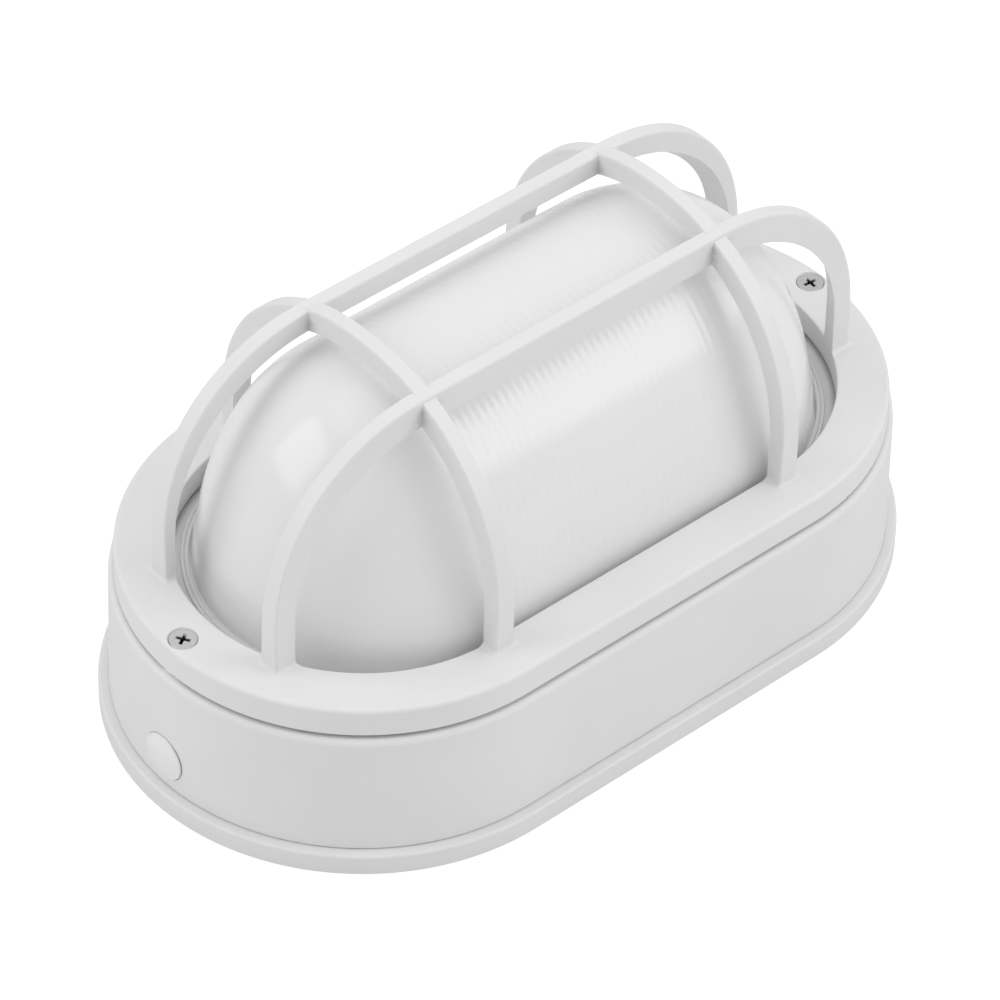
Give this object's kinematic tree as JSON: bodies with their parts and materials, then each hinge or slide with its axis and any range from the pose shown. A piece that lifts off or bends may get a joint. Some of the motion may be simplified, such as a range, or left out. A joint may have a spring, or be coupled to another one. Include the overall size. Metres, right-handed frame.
{
  "type": "bulkhead light",
  "caption": "Oval wall-mounted bulkhead light: deep plastic body, ribbed opal diffuser under a moulded guard, screw-in lampholder inside.",
  "frame": {"origin": "centre of the back plate's rear face, in the plane that meets the wall", "axes": "+X along the long axis, away from the end with the blanking plug; +Y across; +Z away from the wall"},
  "size_m": [0.21, 0.1224, 0.1066],
  "materials": {
    "white_shell_plastic": "satin",
    "opal_diffuser_plastic": "gloss opal",
    "white_plug_plastic": "gloss",
    "seal_rubber": "matt",
    "plated_steel": "zinc plated",
    "terminal_brass": "bright",
    "holder_ceramic": "glazed",
    "reflector_aluminium": "bright rolled",
    "terminal_nylon": "matt",
    "lamp_opal_glass": "opal",
    "neutral_insulation": "satin",
    "live_insulation": "satin"
  },
  "bodies": {
    "root": {"back_plate": "white_shell_plastic", "housing": "white_shell_plastic", "cage_cover": "white_shell_plastic", "diffuser": "opal_diffuser_plastic", "blanking_plug": "white_plug_plastic", "back_seal": "seal_rubber", "diffuser_gasket": "seal_rubber", "cable_grommet": "seal_rubber", "cover_screw_left": "plated_steel", "cover_screw_right": "plated_steel", "housing_screw_1": "plated_steel", "housing_screw_2": "plated_steel", "housing_screw_3": "plated_steel", "housing_screw_4": "plated_steel", "lampholder_bracket": "plated_steel", "holder_screw_1": "plated_steel", "holder_screw_2": "plated_steel", "bracket_screw_1": "plated_steel", "bracket_screw_2": "plated_steel", "reflector_screw_1": "plated_steel", "reflector_screw_2": "plated_steel", "block_screw_1": "plated_steel", "block_screw_2": "plated_steel", "clamp_screw_1_1": "plated_steel", "clamp_screw_1_2": "plated_steel", "clamp_screw_2_1": "plated_steel", "clamp_screw_2_2": "plated_steel", "clamp_screw_3_1": "plated_steel", "clamp_screw_3_2": "plated_steel", "cover_insert_left": "terminal_brass", "cover_insert_right": "terminal_brass", "lampholder_shell": "terminal_brass", "centre_contact": "terminal_brass", "terminal_tube_1": "terminal_brass", "terminal_tube_2": "terminal_brass", "terminal_tube_3": "terminal_brass", "lampholder_body": "holder_ceramic", "reflector": "reflector_aluminium", "terminal_block": "terminal_nylon", "lamp": "lamp_opal_glass", "wire_neutral": "neutral_insulation", "wire_live": "live_insulation"}
  },
  "joints": []
}
